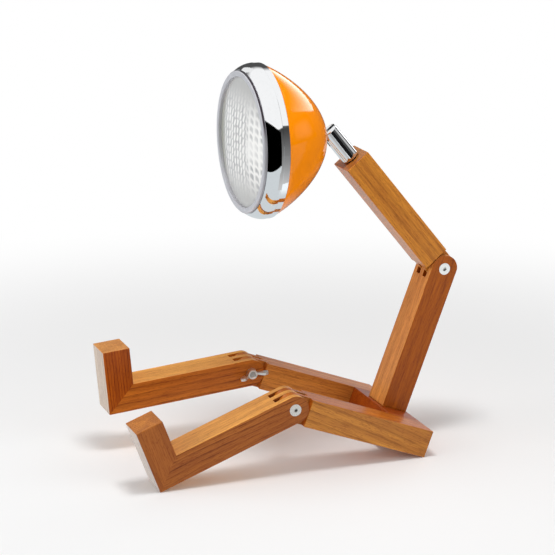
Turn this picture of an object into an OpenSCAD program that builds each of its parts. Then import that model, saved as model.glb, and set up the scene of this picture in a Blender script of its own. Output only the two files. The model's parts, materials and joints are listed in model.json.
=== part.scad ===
// Desk lamp shaped like a sitting robot: a jointed wooden figure that carries a headlamp.
// The figure faces -Y, Z is up and its left side is +X. All sizes are in millimetres.
// Sitting frame: u runs forward along the thighs and v runs square to them, from the rear lower edge.

/* [Wooden bars] */
// Thickness of every bar, measured in the plane that the joints fold in
bar_t = 28; // [24:0.5:34]
// Width of every bar, measured across the figure
bar_w = 36; // [32:0.5:42]
// Length of each limb, from its joint pin to its far end
bar_len = 153; // [125:1:190]
// Overall width of the seat across both thighs
seat_w = 162; // [130:1:200]
// Radius of the eased edges
edge_r = 0.8; // [0.4:0.1:1.6]

/* [Pose in the photograph] */
// Slope of the thighs above the floor in degrees
recline_angle = 20.5; // [16:0.5:26]
// Bend of the right knee in degrees, the raised leg
right_knee_angle = 25.5; // [10:0.5:35]
// Bend of the waist in degrees
waist_angle = 59.7; // [40:0.1:75]

/* [Finger joints] */
// Width of each outer finger and of the middle one
finger_w = 7.2; // [6:0.1:8.5]
// Gap on each side of a tongue in its slot
side_gap = 0.25; // [0.15:0.05:0.4]
// Gap between a rounded end and the shoulder that it turns beside
nose_gap = 0.5; // [0.4:0.1:1]

/* [Joint bolts] */
// Radius of the bolt's shank
bolt_r = 3; // [2.5:0.1:3.4]
// Radius of the countersunk head
bolt_head_r = 6; // [5:0.1:6.8]
// Height of the straight rim on the head
bolt_rim = 0.4; // [0.2:0.1:0.8]
// Key size of the socket, across its flats
socket_w = 4; // [3:0.5:5]
// Depth of the socket
socket_deep = 2.6; // [1.5:0.1:3]
// Thickness of the washer under a wing nut
washer_t = 0.8; // [0.6:0.1:1.5]
// Radius of the washer
washer_r = 5.6; // [5.4:0.1:7]
// Radial clearance of a bolt in its bores
bolt_gap = 0.05; // [0.03:0.01:0.09]

/* [Wing nuts] */
// Height of the hub
hub_h = 5; // [4:0.5:7]
// Radius of the hub at its foot
hub_r = 5.5; // [4.8:0.1:6.3]
// Radius of the hub at its top
hub_top_r = 4.8; // [4.2:0.1:5.4]
// Width of the chamfer at the hub's mouth
hub_mouth = 0.6; // [0.3:0.1:0.9]
// Distance that the bolt's end lies below the hub's top
bolt_sink = 0.6; // [0.3:0.1:1.5]
// Reach of a wing from the bolt's axis
wing_reach = 15.3; // [13:0.1:19]
// Thickness of a wing
wing_t = 2.4; // [1.8:0.1:3]
// Radius of a wing's rounded end
wing_r = 3.6; // [3:0.1:4.5]
// Height of the wing's lower edge above the hub's foot
wing_foot = 1.2; // [0.8:0.1:2]
// Height of the centre of the wing's rounded end
wing_rise = 9.1; // [6:0.1:12]
// Angle at which the right knee's wings lie
wing_angle = 5; // [-40:1:40]

/* [Foot] */
// Height of the foot from the shin's lower face to its toe
foot_h = 66; // [54:1:80]
// Radius of the dowels across a mitre
mitre_dowel_r = 3; // [2.5:0.1:4]
// Length of the dowels across a mitre
mitre_dowel_len = 22; // [16:1:24]

/* [Seat] */
// Depth of the block between the thighs, front to back
block_d = 36; // [34:1:44]
// Distance from the block's rear face to the torso's rear face
torso_set = 2.5; // [1:0.5:5]
// Radius of the dowels between the thighs and the block
seat_dowel_r = 4; // [3:0.5:5]
// Length of the dowels between the thighs and the block
seat_dowel_len = 40; // [30:1:48]
// Radius of the screws that hold the torso on the block
torso_screw_r = 2.5; // [2:0.1:3]
// Length of the screws that hold the torso on the block
torso_screw_len = 68; // [55:1:90]
// Radius of the heads of those screws
torso_screw_head_r = 5; // [4:0.1:6]

/* [Neck] */
// Radius of the neck post
post_r = 9; // [7.5:0.1:10]
// Height of the neck post above the bar that holds it
post_len = 39; // [34:0.5:50]
// Radius of the spigot that turns in the bush
spigot_r = 5; // [4:0.1:6]
// Length of the spigot below the post
spigot_len = 30; // [24:1:40]
// Wall of the neck bush
bush_wall = 2; // [1.5:0.1:3]
// Thickness of the friction washer under the post
neck_washer_t = 0.8; // [0.5:0.1:1.5]
// Radius of the rounding at the post's foot
post_foot_ease = 1.5; // [0.8:0.1:2.5]
// Radius of the rounding at the post's top
post_ease = 0.9; // [0.5:0.1:1.5]
// Distance from the post's top to the tilt pin
pin_drop = 7.5; // [6:0.1:8]
// Radius of the tilt pin
pin_r = 2; // [1.5:0.1:2.5]
// Thickness of the tilt tongue
tongue_t = 5; // [4:0.1:6]
// Height of the tilt tongue
tongue_h = 9; // [7:0.1:10]
// Thickness of the clip that keeps the spigot in its bush
clip_t = 1.2; // [0.8:0.1:1.6]
// Depth of the clip's groove
clip_groove = 1; // [0.6:0.1:1.4]

/* [Head shell] */
// Distance from the tilt pin to the flat rear of the shell
pin_to_shell = 11.8; // [11.8:0.1:16]
// Radius of the shell's mouth
shell_r = 75; // [66:0.5:90]
// Depth of the shell's curve from its mouth to its virtual tip
shell_deep = 63.6; // [52:0.1:80]
// Wall of the shell
shell_wall = 1.2; // [0.8:0.1:2]
// Radius of the flat at the rear of the shell
flat_r = 15; // [14:0.5:17]
// Length of the collar that the trim ring sits on
collar_len = 5; // [3.5:0.5:6]

/* [Trim ring and lens] */
// Radial height of the trim ring's bead over the shell's mouth
bead_rise = 0.9; // [0.6:0.1:1.4]
// Width of the trim ring's rear bead
bead_w = 6.6; // [6:0.1:9]
// Radius by which the wide band stands over the bead
band_step = 0.3; // [0.2:0.1:0.6]
// Width of the trim ring's wide band, measured along the axis
band_w = 14.2; // [11:0.1:18]
// Drop of the band's radius from its rear to its front
band_drop = 6.3; // [5:0.1:8]
// Bulge of the band beyond its straight chord
band_bulge = 1.3; // [0.6:0.1:2]
// Wall of the trim ring
ring_wall = 1; // [0.7:0.1:1.5]
// Width of the lens rim's front face
rim_w = 5.8; // [4.5:0.1:7]
// Height of the lens rim in front of the band
rim_rise = 3; // [2:0.1:5]
// Radius of the rounding on the rim's edges
rim_ease = 0.5; // [0.3:0.1:1]
// Dark gap between the lens rim and the band
rim_gap = 0.4; // [0.3:0.1:0.8]
// Depth of the lens behind the front of its rim
lens_set = 3.4; // [2.5:0.1:5]
// Thickness of the lens
lens_t = 3; // [2.5:0.1:5]
// Height of the lens's dome
lens_dome = 4.5; // [2:0.5:8]
// Thickness of the gasket behind the lens
gasket_t = 1.5; // [1:0.1:2.5]

/* [Inside the head] */
// Wall of the reflector
reflector_wall = 0.8; // [0.6:0.1:1.2]
// Radius of the wire ring that holds the reflector
snap_r = 0.9; // [0.6:0.1:1.2]
// Radius of the lamp holder
holder_r = 11.5; // [9:0.5:13]
// Length of the lamp holder
holder_len = 12; // [10:0.5:13]
// Depth of the terminal block behind the lamp holder
terminal_deep = 6; // [4.5:0.5:8]
// Room for the leads between the terminal block and the lamp holder
lead_room = 2; // [1:0.5:4]
// Radius of the lamp's clear envelope
bulb_r = 8; // [6:0.5:9]
// Length of the lamp's clear envelope
bulb_len = 36; // [28:1:42]
// Radius of the lamp's metal base
base_r = 6.8; // [5:0.1:7.5]
// Length of the lamp's metal base inside its holder
base_len = 9; // [7:0.5:11]
// Thickness of the bracket's plate
plate_t = 2.4; // [1.8:0.1:3.5]
// Radius of the bracket's screws
bracket_screw_r = 1.5; // [1:0.1:2]
// Radius of their countersunk heads
bracket_screw_head_r = 2.8; // [2.2:0.1:3.4]
// Distance of those screws from the middle, to the side
bracket_screw_x = 8.5; // [7:0.5:10]
// Distance of those screws above the lamp's axis
bracket_screw_up = 5; // [3:0.5:7]
// Radius of the cable entry's bore
entry_r = 2.75; // [2.5:0.05:3.2]
// Wall of the cable entry's sleeve
entry_wall = 0.7; // [0.5:0.1:1]
// Thickness of the cable entry's flanges
entry_flange = 1.4; // [1:0.1:1.6]
// Width of the terminal block
terminal_w = 17; // [13:0.5:19]
// Height of the terminal block
terminal_h = 9; // [7:0.5:11]
// Radius of the leads
lead_r = 1.5; // [1:0.1:1.8]

/* [Hidden] */

// Smoothness of round pieces
fine = 96;
small = 40;
// Overrun of every cut, and the clearance of pieces that are fitted together for good
cut = 1;
fit = 0.05;
// Gap between flat faces that slide on each other
slide_gap = 0.1;

// Finger joints
half_t = bar_t / 2;
half_w = bar_w / 2;
slot_w = (bar_w - 3 * finger_w) / 2;
tongue_w = slot_w - 2 * side_gap;
slot_x = (finger_w + slot_w) / 2;
shoulder = half_t + nose_gap;

// Bolts: measured along the bolt from the bar's outer face, which lies at half_w
bolt_cone = bolt_head_r - bolt_r;
bolt_len = bar_w + washer_t + slide_gap + hub_h - bolt_sink;

// Seat
thigh_x = (seat_w - bar_w) / 2;
block_w = seat_w - 2 * bar_w;
left_knee_angle = 2 * recline_angle;
// How far the eased edges lift the figure's lowest corners, taken off again
sit_drop = edge_r * (cos(recline_angle) + sin(recline_angle) - 1);

// Points of the figure as [forward, up], before it is centred over its footprint
function along(p, angle, w, q) = p + [w * cos(angle) - q * sin(angle), w * sin(angle) + q * cos(angle)];
function seat_point(u, v) = along([0, 0], recline_angle, u, v);
knee_point = seat_point(bar_len, half_t);
waist_point = seat_point(torso_set + half_t, bar_t + bar_len);
upper_angle = recline_angle + 90 - waist_angle;
neck_point = along(waist_point, upper_angle, bar_len, 0);
pin_point = along(waist_point, upper_angle, bar_len + post_len - pin_drop, 0);
toe_point = along(knee_point, recline_angle - left_knee_angle, bar_len, foot_h - half_t);
front_reach = toe_point[0] - sit_drop;
rear_reach = waist_point[0] - half_t;
middle = (front_reach + rear_reach) / 2;

// Neck
post_foot = fit + neck_washer_t + slide_gap;
bush_r = spigot_r + bolt_gap + bush_wall;
clip_r = spigot_r + bush_wall / 2;
clip_low = spigot_len - 2 * clip_t;
bush_len = clip_low - clip_t - slide_gap;
post_slot_w = tongue_t + 2 * slide_gap;
post_slot_deep = pin_drop + tongue_h / 2 + pin_r;
pin_near = post_r - pin_r - post_ease;
pin_far = post_r - post_ease;

// Head: lengths run forward from the tilt pin, radii from the lamp's axis
shell_power = 1.13;
shell_steps = 30;
flat_share = pow(1 - pow(flat_r / shell_r, 2), 1 / shell_power);
mouth = pin_to_shell + shell_deep * flat_share;
bead_r = shell_r + bead_rise;
collar_r = bead_r - ring_wall - fit;
band_rear = mouth + bead_w;
band_front = band_rear + band_w;
band_r = bead_r + band_step;
band_front_r = band_r - band_drop;
band_steps = 14;
rim_front = band_front + rim_rise;
rim_r = band_front_r - rim_gap;
rim_in_r = rim_r - rim_w;
skirt_r = band_front_r - ring_wall - fit;
skirt_in_r = skirt_r - ring_wall;
lens_front = rim_front - lens_set;
lens_r = rim_r - rim_w / 2;
lens_steps = 14;
gasket_front = lens_front - lens_t;
flange_front = gasket_front - gasket_t;
reflector_r = rim_in_r - gasket_t;
reflector_steps = 18;
inner_flat = pin_to_shell + shell_wall;
plate_front = inner_flat + plate_t;
holder_rear = plate_front + terminal_deep + lead_room;
holder_front = holder_rear + holder_len;
// The reflector is a paraboloid that meets the lamp holder's front edge
neck_share = pow(holder_r / reflector_r, 2);
reflector_rear = (holder_front - reflector_wall - neck_share * flange_front) / (1 - neck_share);
reflector_focus = reflector_r * reflector_r / (4 * (flange_front - reflector_rear));
snap_z = flange_front - reflector_wall - snap_r;
snap_ring_r = skirt_in_r + ring_wall / 3 - snap_r;
skirt_rear = snap_z - 2 * snap_r;

// Bracket, cable entry and wiring behind the reflector
plate_r = flat_r - shell_wall;
bracket_screw_len = plate_t + shell_wall;
entry_down = tongue_h / 2 + 2 * entry_r;
lead_x = terminal_w / 4;

// Colours
wood_tone = [0.62, 0.36, 0.16];
wood_light = [0.70, 0.43, 0.20];
dowel_tone = [0.80, 0.66, 0.45];
nickel = [0.78, 0.77, 0.74];
mirror_tone = [0.85, 0.86, 0.88];
brass_tone = [0.72, 0.58, 0.30];
orange_tone = [0.95, 0.50, 0.06];
glass_tone = [0.88, 0.89, 0.86];
rubber_tone = [0.10, 0.10, 0.11];
ceramic_tone = [0.93, 0.92, 0.88];
copper_tone = [0.75, 0.20, 0.12];

// Places in the figure

// Puts a point of the figure, given as [forward, up], at the origin of its children
module at_point(p, angle) {
    translate([0, middle - p[0], p[1] - sit_drop]) rotate([-angle, 0, 0]) children();
}
module in_seat() {
    at_point([0, 0], recline_angle) children();
}
module in_leg(side) {
    bend = side > 0 ? left_knee_angle : right_knee_angle;
    at_point(knee_point, recline_angle - bend) translate([side * thigh_x, 0, 0]) children();
}
module in_torso() {
    at_point(waist_point, recline_angle + 90) children();
}
module in_upper() {
    at_point(waist_point, upper_angle) children();
}
module in_neck() {
    at_point(neck_point, upper_angle) rotate([90, 0, 0]) children();
}
// The head's own z runs forward along the lamp's axis, its y runs up
module in_head() {
    at_point(pin_point, 0) rotate([90, 0, 0]) children();
}

// Wooden bars: each runs forward, along -Y, from its joint pin at the origin

// Side outline, drawn forward and up, given a thickness across the figure
module across(w) {
    rotate([90, 0, -90]) linear_extrude(w, center = true) children();
}
module eased_square(x0, x1, y0, y1) {
    translate([x0 + edge_r, y0]) square([x1 - x0 - 2 * edge_r, y1 - y0]);
    translate([x0, y0 + edge_r]) square([x1 - x0, y1 - y0 - 2 * edge_r]);
    for (x = [x0 + edge_r, x1 - edge_r], y = [y0 + edge_r, y1 - edge_r])
        translate([x, y]) circle(edge_r, $fn = small);
}
// Bar with all its edges eased, between two distances along it
module eased_bar(from, to, low, high, w = bar_w) {
    intersection() {
        across(w) eased_square(from, to, low, high);
        translate([0, cut - from, 0]) rotate([90, 0, 0]) linear_extrude(to - from + 2 * cut)
            eased_square(-w / 2, w / 2, low, high);
        translate([0, 0, low - cut]) linear_extrude(high - low + 2 * cut)
            rotate(-90) eased_square(from, to, -w / 2, w / 2);
    }
}
module joint_bore(w) {
    rotate([0, 90, 0]) cylinder(w + 2 * cut, r = bolt_r + bolt_gap, center = true, $fn = fine);
}
// Bar with three fingers and a rounded end, for a bolt head on the given side
module fingered_bar(to, side) {
    difference() {
        intersection() {
            eased_bar(-half_t - 2 * edge_r, to, -half_t, half_t);
            across(bar_w + cut) {
                circle(half_t, $fn = fine);
                translate([0, -half_t]) square([to, bar_t]);
            }
        }
        for (x = [-slot_x, slot_x])
            translate([x - slot_w / 2, -shoulder, -half_t - cut])
                cube([slot_w, shoulder + half_t + 2 * cut, bar_t + 2 * cut]);
        joint_bore(bar_w);
        translate([side * half_w, 0, 0]) rotate([0, -side * 90, 0]) head_recess();
    }
}
// Bar with square shoulders and two tongues
module tongued_bar(to) {
    difference() {
        union() {
            eased_bar(shoulder, to, -half_t, half_t);
            for (x = [-slot_x, slot_x]) translate([x, 0, 0]) across(tongue_w) {
                circle(half_t, $fn = fine);
                translate([0, -half_t]) square([shoulder + 2 * edge_r, bar_t]);
            }
        }
        joint_bore(bar_w);
    }
}

// Seat frame

module thigh(side) {
    color(wood_tone) in_seat() difference() {
        translate([side * thigh_x, -bar_len, half_t]) mirror([0, 1, 0]) tongued_bar(bar_len);
        seat_dowel_set(fit);
    }
}
module thigh_left() {
    thigh(1);
}
module thigh_right() {
    thigh(-1);
}
module seat_block() {
    color(wood_tone) in_seat() difference() {
        eased_bar(0, block_d, 0, bar_t, block_w);
        seat_dowel_set(fit);
        torso_screw_set(fit, cut);
    }
}
module seat_dowel_set(gap) {
    for (side = [-1, 1], share = [1 / 4, 3 / 4])
        translate([side * block_w / 2, -share * block_d, half_t]) rotate([0, 90, 0])
            cylinder(seat_dowel_len + 2 * gap, r = seat_dowel_r + gap, center = true, $fn = small);
}
module seat_dowels() {
    color(dowel_tone) in_seat() seat_dowel_set(0);
}
// Two countersunk screws that rise through the block into the torso
module torso_screw_set(gap, over) {
    cone = torso_screw_head_r - torso_screw_r;
    for (side = [-1, 1]) translate([side * bar_w / 4, -torso_set - half_t, 0]) {
        translate([0, 0, edge_r]) cylinder(torso_screw_len + gap, r = torso_screw_r + gap, $fn = small);
        translate([0, 0, edge_r])
            cylinder(cone, r1 = torso_screw_head_r + gap, r2 = torso_screw_r + gap, $fn = small);
        if (over > 0) translate([0, 0, -over])
            cylinder(over + edge_r, r = torso_screw_head_r + gap, $fn = small);
    }
}
module torso_screws() {
    color(nickel) in_seat() torso_screw_set(0, 0);
}
module torso_lower() {
    color(wood_tone) difference() {
        in_torso() mirror([0, 1, 0]) fingered_bar(bar_len, 1);
        in_seat() torso_screw_set(fit, cut);
    }
}

// Bolts, washers and wing nuts: z runs from the bar's outer face inward along the bolt

module head_recess() {
    translate([0, 0, -cut]) cylinder(cut + bolt_rim, r = bolt_head_r + fit, $fn = fine);
    translate([0, 0, bolt_rim]) cylinder(bolt_cone, r1 = bolt_head_r + fit, r2 = bolt_r + fit, $fn = fine);
}
module bolt() {
    difference() {
        union() {
            cylinder(bolt_rim, r = bolt_head_r, $fn = fine);
            translate([0, 0, bolt_rim]) cylinder(bolt_cone, r1 = bolt_head_r, r2 = bolt_r, $fn = fine);
            cylinder(bolt_len, r = bolt_r, $fn = fine);
        }
        translate([0, 0, -cut]) cylinder(cut + socket_deep, r = socket_w / sqrt(3), $fn = 6);
    }
}
module washer() {
    translate([0, 0, bar_w]) difference() {
        cylinder(washer_t, r = washer_r, $fn = fine);
        translate([0, 0, -cut]) cylinder(washer_t + 2 * cut, r = bolt_r + bolt_gap + fit, $fn = fine);
    }
}
module wing_outline() {
    tip = wing_reach - wing_r;
    translate([tip, wing_rise]) circle(wing_r, $fn = small);
    polygon([
        [hub_top_r / 2, wing_foot],
        [hub_r, wing_foot],
        [tip + wing_r * cos(-35), wing_rise + wing_r * sin(-35)],
        [tip + wing_r * cos(140), wing_rise + wing_r * sin(140)],
        [hub_top_r, hub_h],
        [hub_top_r / 2, hub_h]
    ]);
}
module wing_nut(turn) {
    translate([0, 0, bar_w + washer_t + slide_gap]) rotate(turn) difference() {
        union() {
            cylinder(hub_h, r1 = hub_r, r2 = hub_top_r, $fn = fine);
            for (half = [0, 180]) rotate(half) rotate([90, 0, 0])
                linear_extrude(wing_t, center = true) wing_outline();
        }
        translate([0, 0, -cut]) cylinder(hub_h + 2 * cut, r = bolt_r + bolt_gap, $fn = fine);
        translate([0, 0, hub_h - hub_mouth])
            cylinder(hub_mouth + fit, r1 = bolt_r + bolt_gap, r2 = bolt_r + bolt_gap + hub_mouth, $fn = fine);
    }
}
// Bolt axis with its head on the given side; the bolt's own y axis runs along the bar
module on_bolt(side) {
    translate([side * half_w, 0, 0]) rotate([0, -side * 90, 0]) children();
}
module waist_bolt() {
    color(nickel) in_torso() on_bolt(1) bolt();
}
module waist_washer() {
    color(nickel) in_torso() on_bolt(1) washer();
}
module waist_wing_nut() {
    color(nickel) in_torso() on_bolt(1) wing_nut(90);
}

// Legs

module shin(side) {
    color(wood_light) in_leg(side) difference() {
        fingered_bar(bar_len, side);
        mitre_cut(-1);
        mitre_dowel_set(fit);
    }
}
// Block that takes away all on one side of the mitre at the ankle
module mitre_cut(keep) {
    reach = bar_len + foot_h;
    translate([0, -bar_len, -half_t]) rotate([45, 0, 0])
        translate([-bar_w, -reach, keep > 0 ? -reach : 0]) cube([2 * bar_w, 2 * reach, reach]);
}
module foot(side) {
    color(wood_light) in_leg(side) difference() {
        eased_bar(bar_len - bar_t, bar_len, -half_t, foot_h - half_t);
        mitre_cut(1);
        mitre_dowel_set(fit);
    }
}
module mitre_dowel_set(gap) {
    for (x = [-bar_w / 4, bar_w / 4]) translate([x, half_t - bar_len, 0]) rotate([45, 0, 0])
        cylinder(mitre_dowel_len + 2 * gap, r = mitre_dowel_r + gap, center = true, $fn = small);
}
module mitre_dowels(side) {
    color(dowel_tone) in_leg(side) mitre_dowel_set(0);
}
module shin_left() {
    shin(1);
}
module shin_right() {
    shin(-1);
}
module foot_left() {
    foot(1);
}
module foot_right() {
    foot(-1);
}
module mitre_dowels_left() {
    mitre_dowels(1);
}
module mitre_dowels_right() {
    mitre_dowels(-1);
}
module knee_bolt_left() {
    color(nickel) in_leg(1) on_bolt(1) bolt();
}
module knee_bolt_right() {
    color(nickel) in_leg(-1) on_bolt(-1) bolt();
}
module knee_washer_left() {
    color(nickel) in_leg(1) on_bolt(1) washer();
}
module knee_washer_right() {
    color(nickel) in_leg(-1) on_bolt(-1) washer();
}
module knee_wing_nut_left() {
    color(nickel) in_leg(1) on_bolt(1) wing_nut(90);
}
module knee_wing_nut_right() {
    color(nickel) in_leg(-1) on_bolt(-1) wing_nut(90 + wing_angle);
}

// Upper torso and neck: the neck's own z runs up the post from the bar's end

module torso_upper() {
    color(wood_light) difference() {
        in_upper() tongued_bar(bar_len);
        in_neck() translate([0, 0, -spigot_len - clip_t])
            cylinder(spigot_len + clip_t + cut, r = bush_r + fit, $fn = fine);
    }
}
module neck_bush() {
    color(brass_tone) in_neck() translate([0, 0, -bush_len]) difference() {
        cylinder(bush_len, r = bush_r, $fn = fine);
        translate([0, 0, -cut]) cylinder(bush_len + 2 * cut, r = spigot_r + bolt_gap, $fn = fine);
    }
}
// Open ring in a groove of the spigot, under the bush
module neck_clip() {
    color(nickel) in_neck() translate([0, 0, -clip_low]) difference() {
        cylinder(clip_t, r = clip_r, $fn = fine);
        translate([0, 0, -cut]) cylinder(clip_t + 2 * cut, r = spigot_r - clip_groove + fit, $fn = fine);
        translate([-clip_r / 2, 0, -cut]) cube([clip_r, clip_r + cut, clip_t + 2 * cut]);
    }
}
module neck_washer() {
    color(rubber_tone) in_neck() translate([0, 0, fit]) difference() {
        cylinder(neck_washer_t, r = post_r - post_foot_ease, $fn = fine);
        translate([0, 0, -cut]) cylinder(neck_washer_t + 2 * cut, r = spigot_r + side_gap, $fn = fine);
    }
}
module post_outline() {
    low = post_foot + post_foot_ease;
    square([post_r - post_foot_ease, post_len]);
    translate([0, low]) square([post_r, post_len - low - post_ease]);
    translate([post_r - post_foot_ease, low]) circle(post_foot_ease, $fn = small);
    translate([post_r - post_ease, post_len - post_ease]) circle(post_ease, $fn = small);
}
module neck_post() {
    color(mirror_tone) in_neck() difference() {
        union() {
            rotate_extrude($fn = fine) intersection() {
                post_outline();
                translate([0, post_foot]) square([post_r + cut, post_len - post_foot]);
            }
            translate([0, 0, -spigot_len]) cylinder(spigot_len + 2 * post_foot, r = spigot_r, $fn = fine);
        }
        translate([0, 0, -clip_low - fit]) difference() {
            cylinder(clip_t + 2 * fit, r = spigot_r + cut, $fn = fine);
            translate([0, 0, -cut])
                cylinder(clip_t + 2 * cut + 2 * fit, r = spigot_r - clip_groove, $fn = fine);
        }
        translate([-post_slot_w / 2, -post_r - cut, post_len - post_slot_deep])
            cube([post_slot_w, 2 * (post_r + cut), post_slot_deep + cut]);
        translate([-post_r - cut, 0, post_len - pin_drop]) rotate([0, 90, 0])
            cylinder(post_r + cut + pin_near + fit, r = pin_r + fit / 2, $fn = small);
    }
}
module tilt_pin() {
    color(nickel) in_neck() translate([-pin_far, 0, post_len - pin_drop]) rotate([0, 90, 0])
        cylinder(pin_far + pin_near, r = pin_r, $fn = small);
}

// Head: shell and trim

function shell_curve(r, deep, share) = [
    r * sqrt(1 - pow(share, shell_power)),
    mouth - deep * share
];
function curve_shares(steps) = [for (i = [0 : steps]) flat_share * sin(90 * i / steps)];
module shell_profile() {
    inner_r = shell_r - shell_wall;
    inner_deep = shell_deep - shell_wall / flat_share;
    outer = [for (s = curve_shares(shell_steps)) shell_curve(shell_r, shell_deep, s)];
    inner = [for (s = curve_shares(shell_steps)) shell_curve(inner_r, inner_deep, s)];
    polygon(concat(
        [[collar_r - shell_wall, mouth + collar_len], [collar_r, mouth + collar_len], [collar_r, mouth]],
        outer,
        [[0, pin_to_shell], [0, inner_flat]],
        [for (i = [shell_steps : -1 : 1]) inner[i]],
        [[collar_r - shell_wall, mouth - collar_len / 2]]
    ));
}
module head_shell() {
    color(orange_tone) in_head() difference() {
        rotate_extrude($fn = fine) shell_profile();
        tongue_slot(fit);
        bracket_screw_set(fit);
        translate([0, -entry_down, 0])
            cylinder(mouth, r = entry_r + entry_wall + fit, $fn = small);
    }
}
// Points of the band's bulging face, from its rear edge forward, moved inward by an offset
function band_points(inward) = [for (i = [0 : band_steps])
    let (share = i / band_steps, bulge = 4 * band_bulge * share * (1 - share))
    [band_r - band_drop * share + bulge - inward, band_rear + band_w * share + bulge * band_drop / band_w]
];
module trim_ring() {
    face = band_points(0);
    back = band_points(ring_wall);
    color(mirror_tone) in_head() rotate_extrude($fn = fine) polygon(concat(
        [[bead_r - ring_wall, mouth], [bead_r - band_step, mouth], [bead_r, mouth + band_step]],
        [[bead_r, band_rear - band_step], [bead_r - band_step, band_rear]],
        face,
        [for (i = [band_steps : -1 : 0]) back[i]],
        [[bead_r - ring_wall, band_rear - band_step]]
    ));
}
module lens_rim() {
    color(nickel) in_head() rotate_extrude($fn = fine) difference() {
        polygon([
            [rim_in_r, lens_front],
            [rim_in_r, rim_front - rim_ease],
            [rim_in_r + rim_ease, rim_front],
            [rim_r - 2 * rim_ease, rim_front],
            [rim_r, rim_front - 2 * rim_ease],
            [rim_r, band_front + rim_gap],
            [skirt_r, band_front + rim_gap],
            [skirt_r, skirt_rear],
            [skirt_in_r, skirt_rear],
            [skirt_in_r, lens_front]
        ]);
        translate([snap_ring_r, snap_z]) circle(snap_r, $fn = small);
    }
}
// Distance that the dome stands in front of the lens's edge, at a share of its radius
function dome(share) = lens_dome * (1 - share * share);
module lens() {
    edge_share = rim_in_r / lens_r;
    front = [for (i = [0 : lens_steps])
        let (share = edge_share * i / lens_steps)
        [lens_r * share, lens_front + dome(share / edge_share)]];
    back = [for (i = [0 : lens_steps])
        let (share = edge_share * i / lens_steps)
        [lens_r * share, lens_front - lens_t + dome(share / edge_share)]];
    color(glass_tone) in_head() rotate_extrude($fn = fine) polygon(concat(
        front,
        [[lens_r, lens_front], [lens_r, gasket_front]],
        [for (i = [lens_steps : -1 : 0]) back[i]]
    ));
}
module lens_gasket() {
    color(rubber_tone) in_head() translate([0, 0, flange_front]) difference() {
        cylinder(gasket_t, r = lens_r, $fn = fine);
        translate([0, 0, -cut]) cylinder(gasket_t + 2 * cut, r = rim_in_r, $fn = fine);
    }
}
module reflector() {
    inside = [for (i = [0 : reflector_steps])
        let (r = reflector_r - (reflector_r - holder_r) * i / reflector_steps)
        [r, reflector_rear + r * r / (4 * reflector_focus)]];
    color(mirror_tone) in_head() rotate_extrude($fn = fine) polygon(concat(
        [[lens_r, flange_front - reflector_wall], [lens_r, flange_front]],
        inside,
        [for (i = [reflector_steps : -1 : 1]) inside[i] + [reflector_wall, -reflector_wall]],
        [[reflector_r + reflector_wall, flange_front - reflector_wall]]
    ));
}
module snap_ring() {
    color(nickel) in_head() translate([0, 0, snap_z])
        rotate_extrude($fn = fine) translate([snap_ring_r, 0]) circle(snap_r - fit, $fn = small);
}

// Head: lamp, bracket and wiring

module lamp_holder() {
    color(ceramic_tone) in_head() difference() {
        translate([0, 0, holder_rear]) cylinder(holder_len, r = holder_r - fit, $fn = fine);
        translate([0, 0, holder_front - base_len]) cylinder(base_len + cut, r = base_r + fit, $fn = fine);
    }
}
module bulb_base() {
    color(nickel) in_head() translate([0, 0, holder_front - base_len])
        cylinder(1.5 * base_len, r = base_r, $fn = fine);
}
module bulb() {
    tube = bulb_len - bulb_r;
    color(glass_tone) in_head() translate([0, 0, holder_front + base_len / 2]) {
        cylinder(tube, r = bulb_r, $fn = fine);
        translate([0, 0, tube]) rotate_extrude($fn = fine) intersection() {
            circle(bulb_r, $fn = fine);
            square(bulb_r);
        }
    }
}
module tongue_slot(gap) {
    w = tongue_t + 2 * gap;
    h = tongue_h + 2 * gap;
    translate([-w / 2, -h / 2, 0]) cube([w, h, plate_front]);
}
module bracket_screw_set(gap) {
    cone = bracket_screw_head_r - bracket_screw_r;
    for (side = [-1, 1]) translate([side * bracket_screw_x, bracket_screw_up, pin_to_shell]) {
        cylinder(bracket_screw_len, r = bracket_screw_r + gap, $fn = small);
        cylinder(cone, r1 = bracket_screw_head_r + gap, r2 = bracket_screw_r + gap, $fn = small);
    }
}
module bracket_screws() {
    color(nickel) in_head() bracket_screw_set(0);
}
module tilt_bracket() {
    color(mirror_tone) in_head() difference() {
        union() {
            translate([0, 0, inner_flat]) cylinder(plate_t, r = plate_r, $fn = fine);
            translate([-tongue_t / 2, -tongue_h / 2, 0]) cube([tongue_t, tongue_h, plate_front]);
            rotate([0, 90, 0]) cylinder(tongue_t, r = tongue_h / 2, center = true, $fn = fine);
        }
        rotate([0, 90, 0]) cylinder(tongue_t + 2 * cut, r = pin_r + bolt_gap, center = true, $fn = fine);
        bracket_screw_set(fit);
        translate([0, -entry_down, 0])
            cylinder(mouth, r = entry_r + 2 * entry_wall + side_gap, $fn = small);
    }
}
// Rubber entry for a cable, with a flange on each side of the shell
module cable_entry() {
    sleeve_r = entry_r + entry_wall;
    color(rubber_tone) in_head() translate([0, -entry_down, pin_to_shell]) difference() {
        union() {
            cylinder(shell_wall, r = sleeve_r, $fn = small);
            for (z = [-entry_flange, shell_wall]) translate([0, 0, z])
                cylinder(entry_flange, r = sleeve_r + entry_wall, $fn = small);
        }
        translate([0, 0, -mouth]) cylinder(2 * mouth, r = entry_r, $fn = small);
    }
}
module terminal_block() {
    color(ceramic_tone) in_head() difference() {
        translate([-terminal_w / 2, 0, plate_front]) cube([terminal_w, terminal_h, terminal_deep]);
        lead_set(fit);
    }
}
// Two leads from the holder's rear into the terminal block
module lead_set(gap) {
    for (side = [-1, 1]) translate([side * lead_x, terminal_h / 2, plate_front + terminal_deep / 2])
        cylinder(holder_rear - plate_front - terminal_deep / 2, r = lead_r + gap, $fn = small);
}
module holder_leads() {
    color(copper_tone) in_head() lead_set(0);
}

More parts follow.
